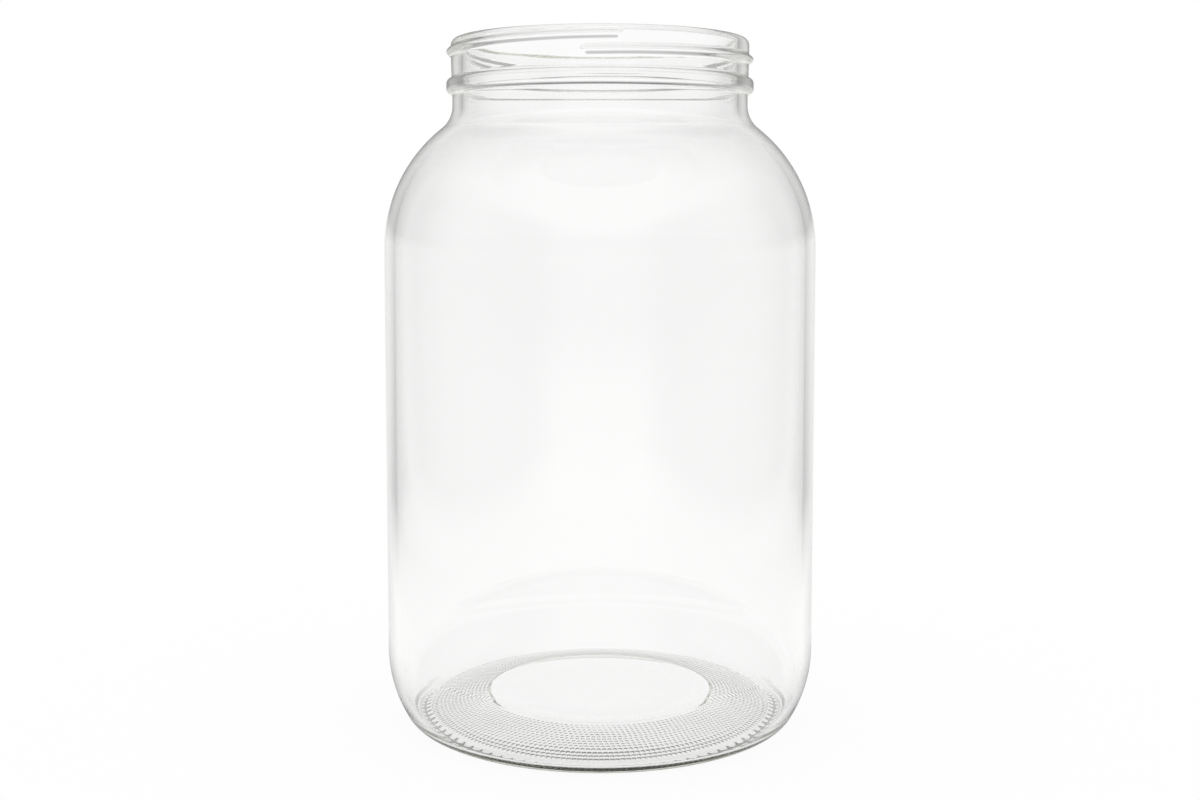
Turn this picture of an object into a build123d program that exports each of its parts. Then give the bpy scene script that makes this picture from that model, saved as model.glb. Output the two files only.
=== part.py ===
from build123d import *
import os
from math import acos, cos, degrees, sin, sqrt

# Wide-mouth food jar of 3.6 litres: one moulded piece of clear glass with a screw finish.
# Millimetres, +Z up, the origin at the centre of the plane that the jar stands on.

# Body
jar_height = 245.4  # bearing ring to rim
body_diameter = 155.0
wall = 3.6
shoulder_radius = 54.6  # outside, tangent to the body
neck_fillet = 10.4  # outside, where the shoulder turns up into the neck

# Base
heel_inset = 12.7  # the heel curves in this far from the body to the bearing ring
heel_toe_radius = 7.5  # tight curve beside the bearing ring
heel_sweep_radius = 45.0  # long curve up to the straight body
bearing_width = 3.0  # the flat ring that the jar stands on
cone_margin = 1.6  # between the bearing ring and the sloping ring inside it
cone_lift = 1.1  # height of the sloping ring's outer edge above the bearing ring
cone_width = 19.1
disc_step = 0.8  # the disc is sunk this much deeper than the ring round it
disc_step_run = 0.7
push_up = 7.4  # underside of the centre disc above the bearing ring
base_thickness = 2.6  # at the disc
crown_margin = 2.6  # the floor inside is level to this far past the disc
crown_round = 60.0
shelf_inset = 17.0  # from there it slopes down to this far inside the body
shelf_height = 6.2
shelf_round = 12.0
valley_height = 2.8  # lowest part of the floor, over the bearing ring
valley_round = 2.2
heel_wall = 3.2  # where the two curves of the heel meet
inner_heel_radius = 36.0
step_blend = 0.3
cone_blend = 1.2

# Screw finish
finish_diameter = 106.8  # outside of the finish just below the lip
finish_draft = 0.55  # the wall is this much closer to the axis at the bead
lip_outer_radius = 2.4
lip_inner_radius = 1.0
sealing_land = 0.8  # flat between the two, for the liner of a lid
bead_depth = 16.8  # rim down to the middle of the bead
bead_height = 5.0
bead_stand_out = 2.1
neck_length = 4.3  # straight neck below the bead

# Thread: a single right-handed start that runs a little more than once round
thread_stand_out = 1.55  # beyond the finish
thread_pitch = 5.08
thread_ridge_height = 3.4
thread_end_depth = 8.6  # rim down to the middle of the ridge at its lower end
thread_start_angle = -94.6  # lower end, left of the front
thread_sweep_angle = 370.3
thread_root = 1.2  # how far the ridge is rooted in the wall

# Radii and heights that follow from the sizes above
body_radius = body_diameter / 2
inner_radius = body_radius - wall
bearing_outer_radius = body_radius - heel_inset
bearing_inner_radius = bearing_outer_radius - bearing_width
cone_radius = bearing_inner_radius - cone_margin
disc_radius = cone_radius - cone_width - disc_step_run
finish_radius = finish_diameter / 2
neck_radius = finish_radius - finish_draft
mouth_radius = finish_radius - lip_outer_radius - sealing_land - lip_inner_radius
thread_radius = finish_radius + thread_stand_out
bead_middle = jar_height - bead_depth
bead_bottom = bead_middle - bead_height / 2
bead_top = bead_middle + bead_height / 2
neck_base = bead_bottom - neck_length
land_outer = (finish_radius - lip_outer_radius, jar_height)
land_inner = (mouth_radius + lip_inner_radius, jar_height)

# The shoulder arc meets the neck fillet where both have the same slope
shoulder_centre = body_radius - shoulder_radius
arc_span = shoulder_radius + neck_fillet
meet_angle = acos((neck_radius + neck_fillet - shoulder_centre) / arc_span)
shoulder_height = neck_base - arc_span * sin(meet_angle)
shoulder_meet = (
    shoulder_centre + shoulder_radius * cos(meet_angle),
    shoulder_height + shoulder_radius * sin(meet_angle),
)

# The same joint inside the glass, one wall in from the shoulder
inner_shoulder_radius = shoulder_radius - wall
inner_fillet = neck_fillet + wall
inner_span = inner_shoulder_radius + inner_fillet
inner_angle = acos((mouth_radius + inner_fillet - shoulder_centre) / inner_span)
inner_neck_base = shoulder_height + inner_span * sin(inner_angle)
inner_meet = (
    shoulder_centre + inner_shoulder_radius * cos(inner_angle),
    shoulder_height + inner_shoulder_radius * sin(inner_angle),
)

# The heel is two arcs, tangent to the bearing ring, to each other and to the body
heel_rise = sqrt(
    (heel_sweep_radius - heel_toe_radius) ** 2
    - (bearing_outer_radius + heel_sweep_radius - body_radius) ** 2
)
heel_height = heel_toe_radius + heel_rise
heel_share = heel_sweep_radius / (heel_sweep_radius - heel_toe_radius)
heel_centre = body_radius - heel_sweep_radius
heel_meet = (
    heel_centre + (bearing_outer_radius - heel_centre) * heel_share,
    heel_height - heel_rise * heel_share,
)

floor_height = push_up + base_thickness
ring_height = push_up - disc_step

# Inside, the side of the heel is one heel wall in from where its arcs meet, and as steep as they are there
heel_steepness = (heel_meet[0] - heel_centre) / (heel_height - heel_meet[1])
inset_share = 1 - heel_wall / heel_sweep_radius
heel_inside = (
    heel_centre + (heel_meet[0] - heel_centre) * inset_share,
    heel_height - (heel_height - heel_meet[1]) * inset_share,
)
inner_heel_height = heel_inside[1] + (inner_radius - heel_inside[0]) * heel_steepness
valley_radius = heel_inside[0] - (heel_inside[1] - valley_height) / heel_steepness

# The thread's ridge is an arc through its crest, rooted in the wall
ridge_crest = thread_radius - neck_radius
ridge_half = thread_ridge_height / 2
ridge_round = (ridge_half**2 + ridge_crest**2) / (2 * ridge_crest)
thread_rise = thread_pitch * thread_sweep_angle / 360
thread_path = Rotation(0, 0, thread_start_angle) * Helix(
    pitch=thread_pitch,
    height=thread_rise,
    radius=neck_radius,
    center=(0, 0, jar_height - thread_end_depth),
)


def ridge_plane(path, share):
    """The plane square to the helix at this share of its length, with x pointing out of the wall."""
    point = path @ share
    return Plane(origin=point, x_dir=Vector(point.X, point.Y, 0), z_dir=path % share)


with BuildPart() as glass_jar:
    with BuildSketch(Plane.XZ):
        with BuildLine():
            # underside, from the axis out to the bearing ring
            FilletPolyline(
                (0, push_up),
                (disc_radius, push_up),
                (disc_radius + disc_step_run, ring_height),
                (cone_radius, cone_lift),
                (bearing_inner_radius, 0),
                (bearing_outer_radius, 0),
                radius=[step_blend, step_blend, cone_blend, cone_blend],
            )
            # heel, body and shoulder
            RadiusArc((bearing_outer_radius, 0), heel_meet, -heel_toe_radius)
            RadiusArc(heel_meet, (body_radius, heel_height), -heel_sweep_radius)
            Line((body_radius, heel_height), (body_radius, shoulder_height))
            RadiusArc((body_radius, shoulder_height), shoulder_meet, -shoulder_radius)
            RadiusArc(shoulder_meet, (neck_radius, neck_base), neck_fillet)
            # neck, bead and finish
            Line((neck_radius, neck_base), (neck_radius, bead_bottom))
            ThreePointArc(
                (neck_radius, bead_bottom),
                (neck_radius + bead_stand_out, bead_middle),
                (neck_radius, bead_top),
            )
            Line((neck_radius, bead_top), (finish_radius, jar_height - lip_outer_radius))
            # lip, with the land that a lid's liner presses on
            RadiusArc((finish_radius, jar_height - lip_outer_radius), land_outer, -lip_outer_radius)
            Line(land_outer, land_inner)
            RadiusArc(land_inner, (mouth_radius, jar_height - lip_inner_radius), -lip_inner_radius)
            # inside of the mouth, shoulder, wall and floor
            Line((mouth_radius, jar_height - lip_inner_radius), (mouth_radius, inner_neck_base))
            RadiusArc((mouth_radius, inner_neck_base), inner_meet, -inner_fillet)
            RadiusArc(inner_meet, (inner_radius, shoulder_height), inner_shoulder_radius)
            FilletPolyline(
                (inner_radius, shoulder_height),
                (inner_radius, inner_heel_height),
                (valley_radius, valley_height),
                (body_radius - shelf_inset, shelf_height),
                (disc_radius + crown_margin, floor_height),
                (0, floor_height),
                radius=[inner_heel_radius, valley_round, shelf_round, crown_round],
            )
            Line((0, floor_height), (0, push_up))
        make_face()
    revolve(axis=Axis.Z)

    # thread ridge, swept up its helix from the lower end
    with BuildSketch(ridge_plane(thread_path, 0)):
        with BuildLine():
            Polyline(
                (0, -ridge_half),
                (-thread_root, -ridge_half),
                (-thread_root, ridge_half),
                (0, ridge_half),
            )
            ThreePointArc((0, ridge_half), (ridge_crest, 0), (0, -ridge_half))
        make_face()
    sweep(path=thread_path, is_frenet=True)

    # each end of the ridge is rounded by turning half of its section about its own middle
    for end, turn in ((0, -1), (1, 1)):
        end_plane = ridge_plane(thread_path, end)
        with BuildSketch(end_plane):
            with BuildLine():
                Polyline((ridge_crest, 0), (-thread_root, 0), (-thread_root, ridge_half), (0, ridge_half))
                RadiusArc((0, ridge_half), (ridge_crest, 0), ridge_round)
            make_face()
        revolve(axis=Axis(end_plane.origin, end_plane.x_dir * turn), revolution_arc=180)
glass_jar.part.label = "glass_jar"

os.makedirs("parts", exist_ok=True)
export_step(glass_jar.part, "parts/glass_jar.step")
print("heel height", heel_height, "shoulder height", shoulder_height, "inner neck", inner_neck_base)
print("slope", degrees(meet_angle), degrees(inner_angle), "volume", glass_jar.part.volume)
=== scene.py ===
import math
import bpy
import numpy as np
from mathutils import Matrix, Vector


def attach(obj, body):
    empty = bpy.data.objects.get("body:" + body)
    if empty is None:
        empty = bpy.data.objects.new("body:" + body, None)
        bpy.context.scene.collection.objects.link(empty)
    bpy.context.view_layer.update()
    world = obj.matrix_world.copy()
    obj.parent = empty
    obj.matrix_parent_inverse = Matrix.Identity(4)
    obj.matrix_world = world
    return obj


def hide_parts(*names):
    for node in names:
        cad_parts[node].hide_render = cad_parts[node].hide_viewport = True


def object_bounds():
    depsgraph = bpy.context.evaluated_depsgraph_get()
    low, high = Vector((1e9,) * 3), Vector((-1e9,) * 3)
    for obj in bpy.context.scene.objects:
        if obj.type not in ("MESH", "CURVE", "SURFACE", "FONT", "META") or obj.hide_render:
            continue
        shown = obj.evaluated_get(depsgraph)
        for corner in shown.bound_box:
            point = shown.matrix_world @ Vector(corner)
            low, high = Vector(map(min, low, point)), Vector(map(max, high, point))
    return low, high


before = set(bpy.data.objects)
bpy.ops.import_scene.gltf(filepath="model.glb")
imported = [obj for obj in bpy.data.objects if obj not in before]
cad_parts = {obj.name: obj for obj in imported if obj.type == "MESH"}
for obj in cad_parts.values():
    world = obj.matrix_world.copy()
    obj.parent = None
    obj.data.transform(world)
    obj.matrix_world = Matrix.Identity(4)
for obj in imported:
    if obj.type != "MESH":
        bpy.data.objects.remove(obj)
cadLow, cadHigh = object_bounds()
print("frame loaded:", ", ".join(sorted(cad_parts)))

mm = 0.001  # the camera's and the jar's sizes are in millimetres and degrees, all others in metres
bodyRadius = (cadHigh.x - cadLow.x) / 2 / mm
jarHeight = (cadHigh.z - cadLow.z) / mm

view = {
    "distance": 564.4,  # camera to the jar's axis
    "height": 185.2,
    "nearest": 10.0,  # what is nearer than this isn't drawn
    "lens": 46.65,
    "sensor": 36.0,
    "shift": -0.0529,
    "pitch": 4.7,  # below level
}


def makeCamera():
    # in front of the jar, looking along +Y and down by the pitch
    data = bpy.data.cameras.new("camera")
    data.lens, data.sensor_width = view["lens"], view["sensor"]
    data.shift_y = view["shift"]
    data.clip_start = view["nearest"] * mm
    camera = bpy.data.objects.new("camera", data)
    camera.location = (0, -view["distance"] * mm, view["height"] * mm)
    camera.rotation_euler = (math.radians(90 - view["pitch"]), 0, 0)
    bpy.context.scene.collection.objects.link(camera)
    bpy.context.scene.camera = camera
    print("camera set")


section = {
    "wall": 3.6,
    "shoulderRadius": 54.6,
    "neckFillet": 10.4,
    "neckBase": 221.8,
    "neckRadius": 52.85,
    "finishRadius": 53.4,
    "mouthRadius": 49.2,
    "lipOuter": 2.4,
    "lipInner": 1.0,
    "beadMiddle": 228.6,
    "beadHeight": 5.2,
    "beadStandOut": 2.1,
    "beadTop": 1.7,  # rounding of the bead's two edges
    "beadLean": 0.3,  # its crest is this much shorter at each edge
    "beadFoot": 0.2,  # and its foot this much longer
    "beadRoot": 0.7,
    "overBead": 0.2,  # how much further out than the neck the wall is over the bead
    "underThread": 0.25,  # and under the thread
    "heelToe": 7.5,
    "heelSweep": 45.0,
    "bearingOuter": 64.8,
    "bearingInner": 63.9,  # between the beads the sloping ring runs down to here
    "bearingRound": 1.0,
    "coneRadius": 60.2,
    "coneLift": 1.1,
    "discRadius": 40.4,
    "discStep": 0.8,
    "discStepRun": 0.7,
    "discRound": 0.3,
    "pushUp": 7.4,
    "baseThickness": 2.6,
    "floorInside": [(67.0, 2.8, 2.2), (60.5, 6.2, 12.0), (43.0, 10.0, 60.0)],  # (out, up, rounding)
    "innerHeelHeight": 14.5,
    "innerHeel": 36.0,
}

thread = {
    "pitch": 5.08,
    "startAngle": -94.6,
    "sweep": 370.3,
    "endHeight": jarHeight - 8.6,  # middle of the ridge at its lower end
    "standOut": 1.55,
    "halfWidth": 2.0,
    "flank": 1.9,  # width of its sloping sides
    "low": jarHeight - 13.2,  # the rows are close from here to the rim
    "top": jarHeight - 0.6,  # nothing stands out above this
}

knurl = {
    "count": 90,  # pairs of beads round the bearing ring
    "height": 0.4,
    "rows": (62.5, 65.3),
    "reach": 1.2,  # half a bead's length, outwards
    "width": 0.62,  # a bead's share of its pitch
    "sunkFrom": 62.6,  # between these the ring lies higher than the beads' feet
    "sunkTo": 67.6,
    "steepen": 1.6,  # its rise and fall are so many times steeper than a raised cosine's
}

stipple = {
    "rows": 14,
    "rowPitch": 1.36,
    "dotPitch": 1.76,
    "inner": 42.1,
    "halfWidth": 0.46,  # share of the pitch of the rows
    "depth": 0.46,  # of the dimples at the inner row
    "deeper": 0.3,  # and this much more at the outer row
}

# The surface is made in bands, with a narrow strip stitched between two of them: this is where they end
bandEnds = {
    "pole": 4.0,  # in the middle of the underside and of the floor a fan of triangles reaches out to here
    "pastDisc": 0.3,
    "pastCone": 0.45,
    "outside": 0.6,  # above the neck's base
    "finish": 1.2,
    "outerLip": 0.2,  # in from the lip's outer rounding
    "innerLip": 0.6,
    "mouth": 2.0,  # above the neck's base
    "inside": 1.0,
}

# Points of a band round the axis, or round one dimple or bead
bandColumns = {
    "disc": 150,
    "dimple": 4,
    "bead": 6,
    "outside": 200,
    "finish": 270,
    "mouth": 180,
    "inside": 160,
}

# Degrees of arc and millimetres of straight run between two rows of a band
bandRows = {
    "disc": (9.0, 12.0),
    "bearing": (6.0, 0.5),
    "outside": (3.4, 24.0),
    "finish": (14.0, 0.8),
    "thread": (14.0, 0.36),
    "mouth": (15.0, 6.0),
    "inside": (4.0, 20.0),
}


def roundedPath(corners, arcStep, run):
    # points along a polyline whose corners are arcs: each corner is (radius out, height, corner radius).
    # An arc starts at its tangent length, radius times tan of half the turn, from the corner, and has one
    # point for each arcStep degrees; straight runs are cut into pieces no longer than run
    spots = np.array([corner[:2] for corner in corners], float)
    path = [spots[0]]
    for before, here, after, corner in zip(spots, spots[1:], spots[2:], corners[1:-1]):
        arrive, leave = here - before, after - here
        arrive, leave = arrive / np.linalg.norm(arrive), leave / np.linalg.norm(leave)
        turn = math.atan2(arrive[0] * leave[1] - arrive[1] * leave[0], arrive @ leave)
        start = here - arrive * corner[2] * math.tan(abs(turn) / 2)
        side = math.copysign(1, turn) * np.array([-arrive[1], arrive[0]])
        steps = max(2, math.ceil(abs(math.degrees(turn)) / arcStep))
        angles = np.linspace(0, abs(turn), steps + 1)[:, None]
        path.extend(start + corner[2] * (arrive * np.sin(angles) + side * (1 - np.cos(angles))))
    path.append(spots[-1])
    path = np.array(path)
    path = path[np.r_[True, np.linalg.norm(np.diff(path, axis=0), axis=1) > 1e-6]]  # no point twice
    lengths = np.linalg.norm(np.diff(path, axis=0), axis=1)
    pieces = np.maximum(1, np.ceil(lengths / run)).astype(int)
    shares = np.concatenate([i + np.arange(n) / n for i, n in enumerate(pieces)] + [[len(pieces)]])
    place = np.arange(len(path))
    return np.column_stack([np.interp(shares, place, path[:, 0]), np.interp(shares, place, path[:, 1])])


def bump(x):
    # one at zero and nothing past one, with the slope of a raised cosine between
    return np.where(np.abs(x) < 1, (1 + np.cos(np.pi * np.clip(x, -1, 1))) / 2, 0)


def ring(profile, count):
    # the radius, angle and height of each point of a profile turned about the axis, as three grids
    radius, angle = np.meshgrid(profile[:, 0], np.arange(count) * 2 * np.pi / count, indexing="ij")
    height = np.repeat(profile[:, 1:], count, axis=1)
    return [radius, angle, height]


def coneHeight(radius):
    # the sloping ring under the base falls in a straight line from the disc's step to the cone's edge
    s = section
    rise = s["pushUp"] - s["discStep"] - s["coneLift"]
    slope = rise / (s["coneRadius"] - s["discRadius"] - s["discStepRun"])
    return s["coneLift"] + (s["coneRadius"] - radius) * slope


def discBand():
    # underside of the disc, and its step down to the sloping ring
    s = section
    stepEnd = s["discRadius"] + s["discStepRun"]
    end = stepEnd + bandEnds["pastDisc"]
    profile = roundedPath([
        (bandEnds["pole"], s["pushUp"], 0), (s["discRadius"], s["pushUp"], s["discRound"]),
        (stepEnd, s["pushUp"] - s["discStep"], s["discRound"]), (end, coneHeight(end), 0),
    ], *bandRows["disc"])
    return ring(profile, bandColumns["disc"])


def stippleBands():
    # rings of dimples in the sloping ring, with the same space between them all over: each goes up into
    # the glass by a raised cosine across its row times one along it
    bands = []
    half = stipple["rowPitch"] * stipple["halfWidth"]
    for row in range(stipple["rows"]):
        middle = stipple["inner"] + row * stipple["rowPitch"]
        dots = round(2 * np.pi * middle / stipple["dotPitch"])
        radii = middle + half * np.array([-1, 0, 1])
        band = ring(np.column_stack([radii, coneHeight(radii)]), dots * bandColumns["dimple"])
        across = bump((band[0] - middle) / half)
        along = (1 + np.cos(band[1] * dots)) / 2
        depth = stipple["depth"] + stipple["deeper"] * row / stipple["rows"]
        band[2] += depth * across * along
        bands.append(band)
    return bands


def heelCorners():
    # the two corners whose arcs make the heel, and the point where the arcs meet: the toe turns up from
    # the bearing ring, the sweep on to upright
    toe, sweep = section["heelToe"], section["heelSweep"]
    run = section["bearingOuter"] + sweep - bodyRadius
    rise = math.sqrt((sweep - toe) ** 2 - run**2)
    upright = math.atan2(rise, run)  # what the sweep turns
    toeCorner = section["bearingOuter"] + toe * math.tan((math.pi / 2 - upright) / 2)
    sweepCorner = toe + rise - sweep * math.tan(upright / 2)
    lean = np.array([bodyRadius - toeCorner, sweepCorner])
    reach = toe * math.tan(math.atan2(lean[1], lean[0]) / 2)
    meet = np.array([toeCorner, 0]) + lean / np.linalg.norm(lean) * reach
    return (toeCorner, 0, toe), (bodyRadius, sweepCorner, sweep), (*meet, 0)


def bearingBand(toe, meet):
    # the bearing ring and the toe of the heel. The ring is raised by a raised cosine with its top cut
    # flat, and each bead, the root of a raised cosine across its row times one along it, comes down to
    # the level ground
    s = section
    start = s["coneRadius"] + bandEnds["pastCone"]
    profile = roundedPath([
        (start, coneHeight(start), 0), (s["bearingInner"], 0.0, s["bearingRound"]), toe, meet,
    ], *bandRows["bearing"])
    band = ring(profile, knurl["count"] * bandColumns["bead"])
    across = sum(bump((band[0] - row) / knurl["reach"]) for row in knurl["rows"])
    along = bump(((band[1] * knurl["count"] / np.pi) % 2 - 1) / knurl["width"])
    middle, reach = (knurl["sunkFrom"] + knurl["sunkTo"]) / 2, (knurl["sunkTo"] - knurl["sunkFrom"]) / 2
    raised = knurl["height"] * np.clip(knurl["steepen"] * bump((band[0] - middle) / reach), 0, 1)
    bead = np.sqrt(np.clip(across, 0, 1)) * along
    band[2] += raised - bead * (raised + np.where(band[0] < s["bearingInner"], band[2], 0))
    return band


def shoulderArcs(bodySide, neckSide, shoulder, fillet):
    # the rise of a shoulder, and how far the corners of its two arcs are from its ends: the wide arc
    # leaves the upright body, the fillet turns back up into the neck, and both turn by the same angle
    turn = math.acos((neckSide + fillet - (bodySide - shoulder)) / (shoulder + fillet))
    rise = (shoulder + fillet) * math.sin(turn)
    reach = math.tan(turn / 2)
    return rise, shoulder * reach, fillet * reach


def outsideBand(sweep, meet):
    # sweep of the heel, body and shoulder, and the height where the shoulder starts
    s = section
    rise, shoulderReach, filletReach = shoulderArcs(
        bodyRadius, s["neckRadius"], s["shoulderRadius"], s["neckFillet"])
    base = s["neckBase"] - rise
    profile = roundedPath([
        meet, sweep, (bodyRadius, base + shoulderReach, s["shoulderRadius"]),
        (s["neckRadius"], s["neckBase"] - filletReach, s["neckFillet"]),
        (s["neckRadius"], s["neckBase"] + bandEnds["outside"], 0),
    ], *bandRows["outside"])
    return ring(profile[1:], bandColumns["outside"]), base


def threadStandOut(angle, height):
    # how far the thread stands out of the finish: the ridge climbs one pitch a turn from its lower end,
    # and its sides are half a raised cosine over the distance from its middle line; past an end, from the
    # end's own point, so the end is round
    best = np.full(angle.shape, np.inf)
    for turn in (-1, 0, 1):
        along = np.degrees(angle) - thread["startAngle"] + 360 * turn
        kept = np.clip(along, 0, thread["sweep"])
        up = height - thread["endHeight"] - thread["pitch"] * kept / 360
        past = np.radians(along - kept) * section["finishRadius"]
        best = np.minimum(best, np.hypot(up, past))
    down = np.clip((best - thread["halfWidth"] + thread["flank"]) / thread["flank"], 0, 1)
    return thread["standOut"] * bump(down)


def finishBand():
    # neck, bead, wall with its thread, and the outer half of the lip
    s = section
    low, high = s["beadMiddle"] - s["beadHeight"] / 2, s["beadMiddle"] + s["beadHeight"] / 2
    crest = s["neckRadius"] + s["beadStandOut"]
    foot = (s["neckRadius"] + s["underThread"], thread["low"], 0)
    plain = roundedPath([
        (s["neckRadius"], s["neckBase"] + bandEnds["finish"], 0),
        (s["neckRadius"], low - s["beadFoot"], s["beadRoot"]),
        (crest, low + s["beadLean"], s["beadTop"]), (crest, high - s["beadLean"], s["beadTop"]),
        (s["neckRadius"] + s["overBead"], high + s["beadFoot"], s["beadRoot"]), foot,
    ], *bandRows["finish"])
    threaded = roundedPath([
        foot, (s["finishRadius"], jarHeight, s["lipOuter"]),
        (s["finishRadius"] - s["lipOuter"] - bandEnds["outerLip"], jarHeight, 0),
    ], *bandRows["thread"])
    band = ring(np.concatenate([plain, threaded[1:]]), bandColumns["finish"])
    band[0] += threadStandOut(band[1], band[2]) * (band[2] < thread["top"])
    return band


def mouthBand():
    # inner half of the lip, and the wall of the mouth
    s = section
    profile = roundedPath([
        (s["finishRadius"] - s["lipOuter"] - bandEnds["innerLip"], jarHeight, 0),
        (s["mouthRadius"], jarHeight, s["lipInner"]),
        (s["mouthRadius"], s["neckBase"] + bandEnds["mouth"], 0),
    ], *bandRows["mouth"])
    return ring(profile, bandColumns["mouth"])


def insideBand(base):
    # inside of the shoulder, wall and floor: the shoulder starts as high as outside, one wall further in
    s = section
    wall = s["wall"]
    rise, shoulderReach, filletReach = shoulderArcs(
        bodyRadius - wall, s["mouthRadius"], s["shoulderRadius"] - wall, s["neckFillet"] + wall)
    profile = roundedPath([
        (s["mouthRadius"], s["neckBase"] + bandEnds["inside"], 0),
        (s["mouthRadius"], base + rise - filletReach, s["neckFillet"] + wall),
        (bodyRadius - wall, base + shoulderReach, s["shoulderRadius"] - wall),
        (bodyRadius - wall, s["innerHeelHeight"], s["innerHeel"]), *s["floorInside"],
        (bandEnds["pole"], s["pushUp"] + s["baseThickness"], 0),
    ], *bandRows["inside"])
    return ring(profile, bandColumns["inside"])


def jarBands():
    # the jar's whole surface, from the middle of the underside, round the outside and over the rim, to
    # the middle of the floor inside: each band is a profile turned about the axis, moved by its pattern
    toe, sweep, meet = heelCorners()
    outside, base = outsideBand(sweep, meet)
    under = [discBand(), *stippleBands(), bearingBand(toe, meet)]
    return [*under, outside, finishBand(), mouthBand(), insideBand(base)]


def bandFaces(start, rowCount, count):
    # two triangles for each cell of a band's grid, split by one diagonal and the other in turn, so that a
    # dimple is the same on all its sides; the columns wrap round
    row, column = np.meshgrid(np.arange(rowCount - 1), np.arange(count), indexing="ij")
    here = start + row * count + column
    side = start + row * count + (column + 1) % count
    turned = (row + column) % 2 == 0
    above, sideAbove = here + count, side + count
    first = np.stack([here, side, np.where(turned, above, sideAbove)], axis=-1)
    second = np.stack([np.where(turned, side, here), sideAbove, above], axis=-1)
    return np.concatenate([first.reshape(-1, 3), second.reshape(-1, 3)])


def stitchFaces(first, second, firstCount, secondCount):
    # triangles between two rings with different counts: the edges of both are taken in the order of their
    # middles round the axis, and each is joined to the point that the other ring has reached
    firstMiddles = (np.arange(firstCount) + 0.5) / firstCount
    secondMiddles = (np.arange(secondCount) + 0.5) / secondCount
    order = np.argsort(np.concatenate([firstMiddles, secondMiddles]), kind="stable")
    fromFirst = np.concatenate([np.ones(firstCount, bool), np.zeros(secondCount, bool)])[order]
    a = np.cumsum(fromFirst) - fromFirst
    b = np.cumsum(~fromFirst) - ~fromFirst
    aHere, aNext = first + a % firstCount, first + (a + 1) % firstCount
    bHere, bNext = second + b % secondCount, second + (b + 1) % secondCount
    return np.stack([aHere, np.where(fromFirst, aNext, bNext), bHere], axis=-1)


def makeJar():
    # one closed mesh: the bands, the strips that stitch each to the next, and a fan at each pole
    lowPole, highPole = section["pushUp"], section["pushUp"] + section["baseThickness"]
    points, faces, start, last = [[[0, 0, lowPole]]], [], 1, None
    for radius, angle, height in jarBands():
        rowCount, count = radius.shape
        spots = np.stack([radius * np.cos(angle), radius * np.sin(angle), height], axis=-1)
        points.append(spots.reshape(-1, 3))
        if last:
            faces.append(stitchFaces(last[0], start, last[1], count))
        else:
            turn = np.arange(count)
            faces.append(np.stack([turn * 0, start + (turn + 1) % count, start + turn], axis=-1))
        faces.append(bandFaces(start, rowCount, count))
        last = (start + (rowCount - 1) * count, count)
        start += rowCount * count
    points.append([[0, 0, highPole]])
    turn = np.arange(last[1])
    faces.append(np.stack([last[0] + turn, last[0] + (turn + 1) % last[1], turn * 0 + start], axis=-1))
    points, faces = np.concatenate(points) * mm, np.concatenate(faces)
    mesh = bpy.data.meshes.new("glassJar")
    mesh.from_pydata(points.tolist(), [], faces.tolist())
    mesh.shade_smooth()
    jar = bpy.data.objects.new("clearGlassJar", mesh)
    bpy.context.scene.collection.objects.link(jar)
    print("jar made:", len(faces), "triangles")
    return jar


def feed(tree, socket, value):
    # an output is linked to the socket, anything else is the socket's own value
    if isinstance(value, bpy.types.NodeSocket):
        tree.links.new(value, socket)
    else:
        socket.default_value = value


def addMath(tree, operation, first, second=0.0, clamp=True):
    # one operation on two values, kept between zero and one unless clamp is off
    node = tree.nodes.new("ShaderNodeMath")
    node.operation = operation
    node.use_clamp = clamp
    feed(tree, node.inputs[0], first)
    feed(tree, node.inputs[1], second)
    return node.outputs[0]


def addProduct(tree, value, *others):
    # all the values times each other
    for other in others:
        value = addMath(tree, "MULTIPLY", value, other)
    return value


def addMix(tree, factor, first, second):
    # first where the factor is zero, second where it is one
    node = tree.nodes.new("ShaderNodeMix")
    for index, value in ((0, factor), (2, first), (3, second)):
        feed(tree, node.inputs[index], value)
    return node.outputs[0]


def addTint(tree, factor, first, second):
    # the same for colours
    node = tree.nodes.new("ShaderNodeMix")
    node.data_type = "RGBA"
    for index, value in ((0, factor), (6, first), (7, second)):
        feed(tree, node.inputs[index], value)
    return node.outputs[2]


def addRange(tree, value, start, end, first=0.0, last=1.0):
    # first up to start, an even slope in value to last at end
    node = tree.nodes.new("ShaderNodeMapRange")
    feed(tree, node.inputs["Value"], value)
    for name, number in (("From Min", start), ("From Max", end), ("To Min", first), ("To Max", last)):
        node.inputs[name].default_value = number
    return node.outputs[0]


def addNoise(tree, vector, scale, stretch):
    # smooth noise, with the pattern's place stretched along x, y and z
    place = tree.nodes.new("ShaderNodeMapping")
    place.inputs["Scale"].default_value = stretch
    tree.links.new(vector, place.inputs["Vector"])
    noise = tree.nodes.new("ShaderNodeTexNoise")
    noise.inputs["Scale"].default_value = scale
    noise.inputs["Detail"].default_value = 0.0
    tree.links.new(place.outputs[0], noise.inputs["Vector"])
    return noise.outputs["Fac"]


def addSplit(tree, vector):
    # the x, y and z of a place
    split = tree.nodes.new("ShaderNodeSeparateXYZ")
    tree.links.new(vector, split.inputs[0])
    return split.outputs["X"], split.outputs["Y"], split.outputs["Z"]


def addDistance(tree, x, y):
    # how far a place is from the axis: the length of its x and y
    flat = tree.nodes.new("ShaderNodeCombineXYZ")
    tree.links.new(x, flat.inputs["X"])
    tree.links.new(y, flat.inputs["Y"])
    length = tree.nodes.new("ShaderNodeVectorMath")
    length.operation = "LENGTH"
    tree.links.new(flat.outputs[0], length.inputs[0])
    return length.outputs["Value"]


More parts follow.
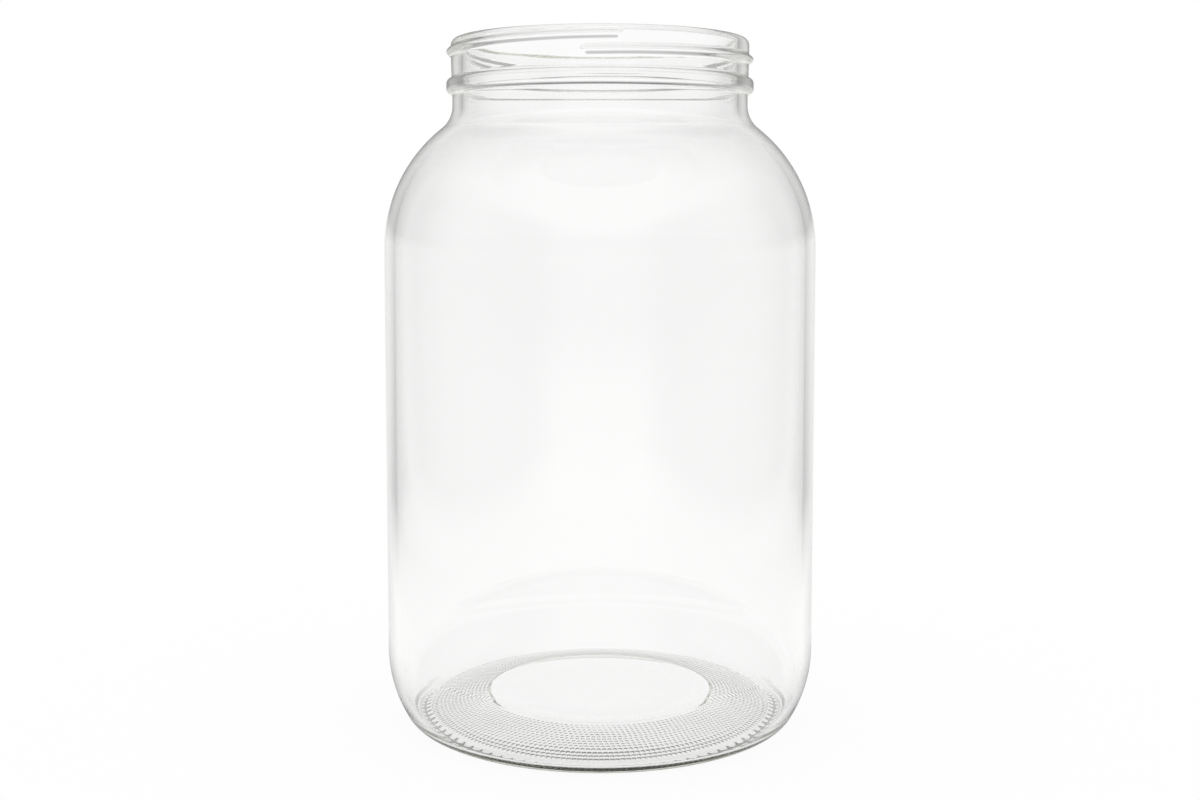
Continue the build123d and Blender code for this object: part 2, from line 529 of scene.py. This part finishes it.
glass = {
    "ior": 1.52,
    "tint": (1.0, 1.0, 1.0),
    "absorb": (0.5, 0.52, 0.36),
    "density": 4.0,
    "bounces": 16,
    "ends": [(0.012, 0.0), (0.02, 1.2), (0.11, 1.2), (0.16, 0.3)],  # height, level of the painted glow where a ray ends in the glass
    "rear": (0.01, 0.03),  # at the back of the neck it is the wall's level again
    "edge": (0.06, 0.063, 0.05),  # painted shade: the dark tint put in the glass's colour where it is seen edge on
    "edgeFrom": (0.72, 1.0),  # one minus the cosine of the angles where that starts and is full
    "ridgeFrom": (0.3, 0.95),  # the same for the bead and the thread, further out and up than this
    "ridgeOut": (0.0534, 0.0538),
    "ridgeUp": (0.22, 0.2205),
    "dimpleFrom": (0.4, 0.6),  # the same for the dimples, which are as far out as this
    "dimpleOut": (0.043, 0.052),
    "dimpleEnd": 0.0605,
    "dimpleUp": 0.00126,  # and no further than this above the sloping ring
    "toe": (0.1, 0.11, 0.08),  # painted shade: a dark tint in the glass's colour at the front of the toe, for the dark line of the thick glass there
    "toeUp": (0.0018, 0.0023, 0.0034, 0.0041),  # from zero to one and back over these heights
    "toeOut": (0.0655, 0.067),
    "toeFront": (0.0, 0.03),
    "wave": 2.5e-5,  # height of the bumps
    "broadScale": 22.0,  # broad unevenness of the blown wall, features a metre
    "streak": (9.0, 9.0, 380.0),  # drawn streaks in the neck and shoulder, the same
    "streakFoot": 0.17,
    "streakTop": 0.2,
    "roughFrom": (0.4, 0.7),  # of the broad unevenness
    "roughest": 0.012,
    "seam": 0.0005,  # half the width of the mould seams at the two sides of the body
    "seamHeight": 2.0,  # in waves
    "seamOut": 0.0757,
}


def addRayEndGlow(tree, path, y, z):
    # painted glow: the glass glows where a ray still in it at its last bounce would end black, in place of
    # light that runs up the wall from a bright rim; light that runs about in the base comes from nowhere
    # and gets none. The glow rises from the foot to the wall, and falls again from the wall to the rim, a
    # painted shade in the neck, except at the back
    foot, wall, middle, top = glass["ends"]
    last = addMath(tree, "GREATER_THAN", path.outputs["Ray Depth"], glass["bounces"] + 0.5)
    low = addRange(tree, z, foot[0], wall[0], foot[1], wall[1])
    high = addRange(tree, z, middle[0], top[0], 1.0, top[1] / middle[1])
    high = addMath(tree, "MAXIMUM", high, addRange(tree, y, *glass["rear"]))
    level = addMath(tree, "MULTIPLY", low, high, clamp=False)
    return addMath(tree, "MULTIPLY", last, level, clamp=False)


def addEdgeShade(tree, path, z, out):
    # how much of the painted edge shade a spot has: for the camera it grows where the wall turns away, and
    # sooner on the bead and the thread; for all light it darkens the steep sides of the dimples, which lie
    # under a cone a little above the sloping ring
    facing = tree.nodes.new("ShaderNodeLayerWeight")
    facing.inputs["Blend"].default_value = 0.5
    away = facing.outputs["Facing"]
    wall = addRange(tree, away, *glass["edgeFrom"])
    ridge = addProduct(
        tree, addRange(tree, out, *glass["ridgeOut"]), addRange(tree, z, *glass["ridgeUp"]),
        addRange(tree, away, *glass["ridgeFrom"]))
    seen = addProduct(tree, addMath(tree, "MAXIMUM", wall, ridge), path.outputs["Is Camera Ray"])
    coneTop, slope = coneHeight(0.0) * mm, coneHeight(0.0) - coneHeight(1.0)
    cone = addMath(tree, "MULTIPLY", out, slope, clamp=False)
    cone = addMath(tree, "ADD", cone, z, clamp=False)
    under = addMath(tree, "LESS_THAN", cone, coneTop + glass["dimpleUp"])
    dimple = addProduct(
        tree, addRange(tree, out, *glass["dimpleOut"]), addMath(tree, "LESS_THAN", out, glass["dimpleEnd"]),
        under, addRange(tree, away, *glass["dimpleFrom"]))
    return addMath(tree, "MAXIMUM", seen, dimple)


def addToeShade(tree, y, z, out):
    # how much of the toe's painted shade a spot has: a band of heights, far enough out, and in front
    low, full, fade, high = glass["toeUp"]
    return addProduct(
        tree, addRange(tree, z, low, full), addRange(tree, z, fade, high, 1.0, 0.0),
        addRange(tree, out, *glass["toeOut"]), addRange(tree, y, *glass["toeFront"], 1.0, 0.0))


def addWaves(tree, place, y, z, out):
    # the wall is a little uneven all over, streaked round the neck and shoulder, and has a seam where y
    # is nothing and it is furthest out: the sum of the three, and the first alone
    broad = addNoise(tree, place, glass["broadScale"], (1, 1, 1))
    streaks = addNoise(tree, place, 1.0, glass["streak"])
    streaks = addProduct(tree, streaks, addRange(tree, z, glass["streakFoot"], glass["streakTop"]))
    waves = addMath(tree, "ADD", broad, streaks, clamp=False)
    aside = addMath(tree, "ABSOLUTE", y, clamp=False)
    seam = addRange(tree, aside, 0.0, glass["seam"], glass["seamHeight"], 0.0)
    outer = addMath(tree, "GREATER_THAN", out, glass["seamOut"])
    seam = addMath(tree, "MULTIPLY", seam, outer, clamp=False)
    return addMath(tree, "ADD", waves, seam, clamp=False), broad


def glassMaterial():
    # clear glass that takes a little colour from what goes through it, with painted shade and glow, and
    # waves
    material = bpy.data.materials.new("clearGlass")
    material.use_nodes = True
    tree = material.node_tree
    shader = tree.nodes["Principled BSDF"]
    shader.inputs["IOR"].default_value = glass["ior"]
    shader.inputs["Transmission Weight"].default_value = 1.0
    absorb = tree.nodes.new("ShaderNodeVolumeAbsorption")
    absorb.inputs["Color"].default_value = (*glass["absorb"], 1)
    absorb.inputs["Density"].default_value = glass["density"]
    tree.links.new(absorb.outputs[0], tree.nodes["Material Output"].inputs["Volume"])
    path = tree.nodes.new("ShaderNodeLightPath")
    place = tree.nodes.new("ShaderNodeTexCoord").outputs["Object"]
    x, y, z = addSplit(tree, place)
    out = addDistance(tree, x, y)
    # painted glow: white light from the glass where a ray ends in it
    shader.inputs["Emission Color"].default_value = (1, 1, 1, 1)
    tree.links.new(addRayEndGlow(tree, path, y, z), shader.inputs["Emission Strength"])
    # painted shade in the glass's colour: dark where it is seen edge on, on the bead and thread, and on the
    # dimples' steep sides
    tint = addTint(tree, addEdgeShade(tree, path, z, out), (*glass["tint"], 1), (*glass["edge"], 1))
    # painted shade in the glass's colour at the front of the toe
    tint = addTint(tree, addToeShade(tree, y, z, out), tint, (*glass["toe"], 1))
    tree.links.new(tint, shader.inputs["Base Color"])
    waves, broad = addWaves(tree, place, y, z, out)
    bumps = tree.nodes.new("ShaderNodeBump")
    bumps.inputs["Distance"].default_value = glass["wave"]
    tree.links.new(waves, bumps.inputs["Height"])
    tree.links.new(bumps.outputs[0], shader.inputs["Normal"])
    rough = addRange(tree, broad, *glass["roughFrom"], 0.0, glass["roughest"])
    tree.links.new(rough, shader.inputs["Roughness"])
    print("glass made")
    return material


# The studio is white behind the jar and dimmer above, at the sides and in front of it. Directions are
# sines of the elevation or shares of the way round, and a pair is where a change starts and ends
studio = {
    "topSteps": [0.4, 0.55, 0.64, 0.8],  # elevations: from white to grey, and from grey to dark
    "topGrey": 0.6,
    "topLevel": 0.05,
    "topFront": (-0.1, 0.4),  # towards the front the top is white again
    "side": (0.37, 0.66),
    "sideLevel": 0.45,
    "sideNear": 0.5,  # on the floor the sides dim less within this distance
    "front": (0.3, 0.9),
    "frontLevel": 0.6,
    "mirrorFrom": (0.0, 0.06),  # elevations from which the outer skin of the glass mirrors a dim sky
    "mirrorLevel": 0.3,
    "mirrorFront": (-0.6, 0.2),  # towards the front that is brighter
    "mirrorFrontLevel": 0.9,
    "mirrorFloor": (0.1, 0.15),  # painted shade: near the jar the floor that its outer skin mirrors glows dimmer
    "mirrorFloorLevel": 0.5,
    "floorSize": 20.0,  # half its width
    "floorDrop": 0.0002,  # below the jar, so that they don't touch
    "floorTone": 0.97,
    "floorFront": (0.35, 1.6),  # the floor dims towards the front over these distances
    "floorFrontLevel": 0.5,
    "floorShadow": 0.05,  # the floor's share that shows the shadow
    "deep": (5.1, 6.0),  # painted shade: under the jar the floor glows dim for light that met the glass this often
    "deepLevel": 0.05,
    "underJar": 0.08,
}


def addRound(tree, x, y):
    # how far a place is towards the front, and how bright the studio is at its side
    toFront = addMath(tree, "MULTIPLY", y, -1.0, clamp=False)
    toSide = addMath(tree, "ABSOLUTE", x, clamp=False)
    return toFront, addRange(tree, toSide, *studio["side"], 1.0, studio["sideLevel"])


def addSeen(tree, path, through, mirrored):
    # white for the camera and for plain light, one level for rays that went through the glass, and
    # another for those that its outer skin mirrors
    outer = addMath(tree, "LESS_THAN", path.outputs["Transmission Depth"], 0.5)
    return addMix(tree, path.outputs["Is Glossy Ray"], 1.0, addMix(tree, outer, through, mirrored))


def makeWorld():
    # through the glass the sky is the product of its levels at the top, the side and the front; what the
    # glass mirrors of it is the larger of a level for the height and one for the front
    world = bpy.data.worlds.new("studio")
    bpy.context.scene.world = world
    world.use_nodes = True
    tree = world.node_tree
    background = tree.nodes["Background"]
    path = tree.nodes.new("ShaderNodeLightPath")
    x, y, z = addSplit(tree, tree.nodes.new("ShaderNodeTexCoord").outputs["Generated"])
    toFront, side = addRound(tree, x, y)
    first, second, third, fourth = studio["topSteps"]
    grey = addRange(tree, z, first, second, 1.0, studio["topGrey"])
    dark = addRange(tree, z, third, fourth, 1.0, studio["topLevel"] / studio["topGrey"])
    whiteAgain = addRange(tree, toFront, *studio["topFront"])
    top = addMath(tree, "MAXIMUM", addProduct(tree, grey, dark), whiteAgain)
    front = addRange(tree, toFront, *studio["front"], 1.0, studio["frontLevel"])
    high = addRange(tree, z, *studio["mirrorFrom"], 1.0, studio["mirrorLevel"])
    near = addRange(tree, toFront, *studio["mirrorFront"], 0.0, studio["mirrorFrontLevel"])
    mirrored = addMath(tree, "MAXIMUM", high, near)
    level = addSeen(tree, path, addProduct(tree, top, side, front), mirrored)
    tree.links.new(level, background.inputs["Strength"])
    background.inputs["Color"].default_value = (1, 1, 1, 1)
    print("world made")


def floorMaterial():
    # a glow with the studio's levels, and for the camera and the glass a small share of plain white under
    # it, which shows the jar's shadow; under and near the jar the glow is dimmed, a painted shade
    material = bpy.data.materials.new("paleFloor")
    material.use_nodes = True
    tree = material.node_tree
    shader = tree.nodes["Principled BSDF"]
    shader.inputs["Base Color"].default_value = (studio["floorTone"],) * 3 + (1,)
    shader.inputs["Roughness"].default_value = 1.0
    shader.inputs["Specular IOR Level"].default_value = 0.0
    path = tree.nodes.new("ShaderNodeLightPath")
    x, y = addSplit(tree, tree.nodes.new("ShaderNodeTexCoord").outputs["Object"])[:2]
    out = addDistance(tree, x, y)
    far = addMath(tree, "MAXIMUM", out, studio["sideNear"], clamp=False)
    toFront, side = addRound(tree, addMath(tree, "DIVIDE", x, far, clamp=False), y)
    front = addRange(tree, toFront, *studio["floorFront"], 1.0, studio["floorFrontLevel"])
    # painted shade under the jar and, in what the glass mirrors, round it
    deep = addRange(tree, path.outputs["Ray Depth"], *studio["deep"], 1.0, studio["deepLevel"])
    deep = addMath(tree, "MAXIMUM", deep, addMath(tree, "GREATER_THAN", out, studio["underJar"]))
    mirrored = addRange(tree, out, *studio["mirrorFloor"], studio["mirrorFloorLevel"], 1.0)
    glow = tree.nodes.new("ShaderNodeEmission")
    level = addSeen(tree, path, addProduct(tree, front, side, deep), mirrored)
    tree.links.new(level, glow.inputs["Strength"])
    seen = addMath(tree, "MAXIMUM", path.outputs["Is Glossy Ray"], path.outputs["Is Camera Ray"])
    mix = tree.nodes.new("ShaderNodeMixShader")
    tree.links.new(addProduct(tree, seen, 1 - studio["floorShadow"]), mix.inputs[0])
    tree.links.new(shader.outputs[0], mix.inputs[1])
    tree.links.new(glow.outputs[0], mix.inputs[2])
    tree.links.new(mix.outputs[0], tree.nodes["Material Output"].inputs["Surface"])
    return material


def makeFloor():
    # a wide square that faces up
    size = studio["floorSize"]
    mesh = bpy.data.meshes.new("floor")
    corners = [(-size, -size, 0), (size, -size, 0), (size, size, 0), (-size, size, 0)]
    mesh.from_pydata(corners, [], [(0, 1, 2, 3)])
    mesh.materials.append(floorMaterial())
    floor = bpy.data.objects.new("floor", mesh)
    floor.location.z = -studio["floorDrop"]
    bpy.context.scene.collection.objects.link(floor)
    print("floor made")


makeCamera()
jar = makeJar()
jar.data.materials.append(glassMaterial())
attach(jar, "root")
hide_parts("glass_jar")
makeWorld()
makeFloor()
scene = bpy.context.scene
scene.view_settings.view_transform = "Standard"
scene.cycles.max_bounces = glass["bounces"]
scene.cycles.transmission_bounces = glass["bounces"]
scene.cycles.glossy_bounces = glass["bounces"]
